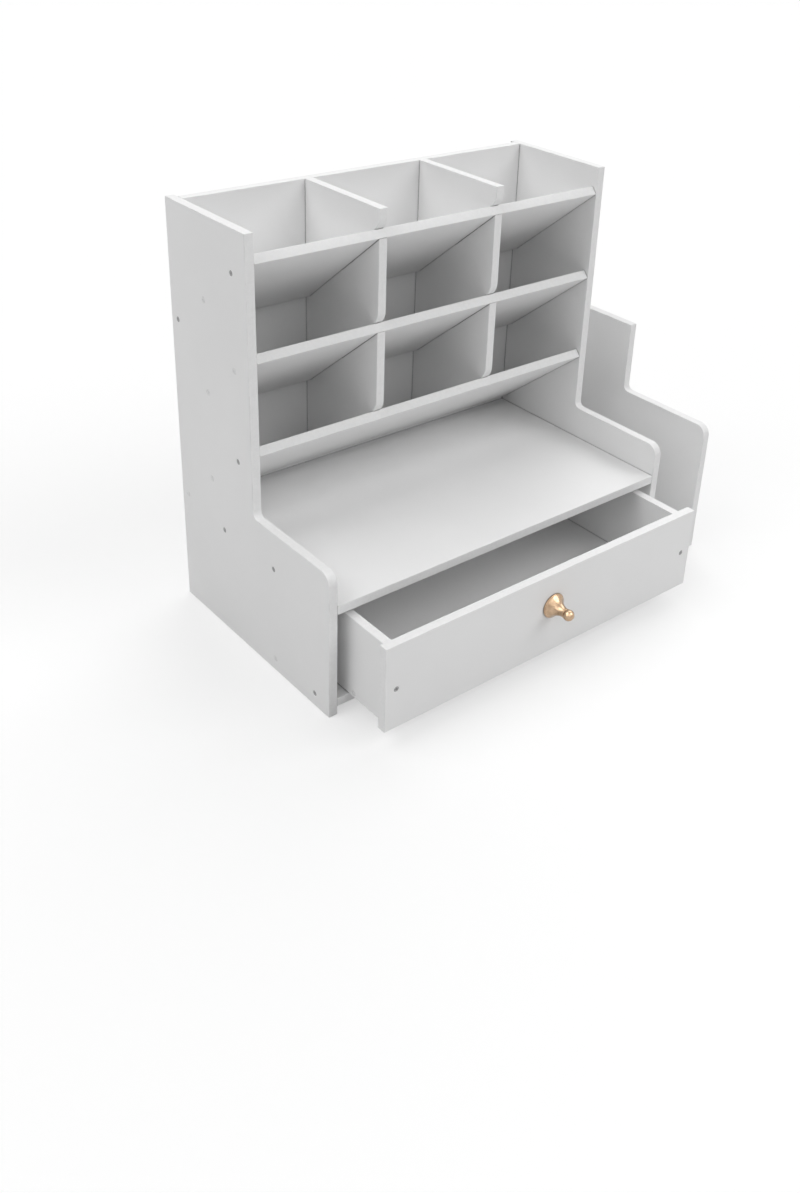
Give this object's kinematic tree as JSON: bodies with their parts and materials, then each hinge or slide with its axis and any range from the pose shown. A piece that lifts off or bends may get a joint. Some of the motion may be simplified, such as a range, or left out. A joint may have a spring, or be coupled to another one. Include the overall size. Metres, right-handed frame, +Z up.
{
  "type": "desk organizer with drawer and file rack",
  "caption": "Upright white board desk organizer with slanted pen compartments, a shelf, a sliding drawer with a turned gold knob and an open file rack at its right side.",
  "frame": {"origin": "on the floor under the centre of the overall footprint, with the drawer open as stored", "axes": "+Z up, the front faces -Y, +X to the right with the file rack at that end"},
  "size_m": [0.3274, 0.2214, 0.272],
  "materials": {
    "white_board": "smooth matt white board, white right through its cut edges",
    "board_screw": "small plain countersunk heads, dull grey",
    "gold_knob": "polished light gold, turned",
    "knob_screw": "plain pan head"
  },
  "bodies": {
    "carcass": {"left_side_panel": "white_board", "right_side_panel": "white_board", "back_panel": "white_board", "bottom_board": "white_board", "shelf_board": "white_board", "lower_slanted_board": "white_board", "middle_slanted_board": "white_board", "upper_slanted_board": "white_board", "left_divider": "white_board", "right_divider": "white_board", "rack_panel": "white_board", "rack_floor": "white_board", "rack_back": "white_board", "left_side_screws": "board_screw", "right_side_screws": "board_screw", "rack_inner_screws": "board_screw", "rack_outer_screws": "board_screw"},
    "drawer": {"drawer_front": "white_board", "drawer_left_side": "white_board", "drawer_right_side": "white_board", "drawer_back": "white_board", "drawer_bottom": "white_board", "drawer_knob": "gold_knob", "knob_screw": "knob_screw", "drawer_front_screws": "board_screw", "drawer_side_screws": "board_screw"}
  },
  "joints": [
    {"name": "drawer_slide", "type": "slide", "parent": "carcass", "child": "drawer", "axis": [0, -1, 0], "range_m": [-0.041, 0.07]}
  ]
}
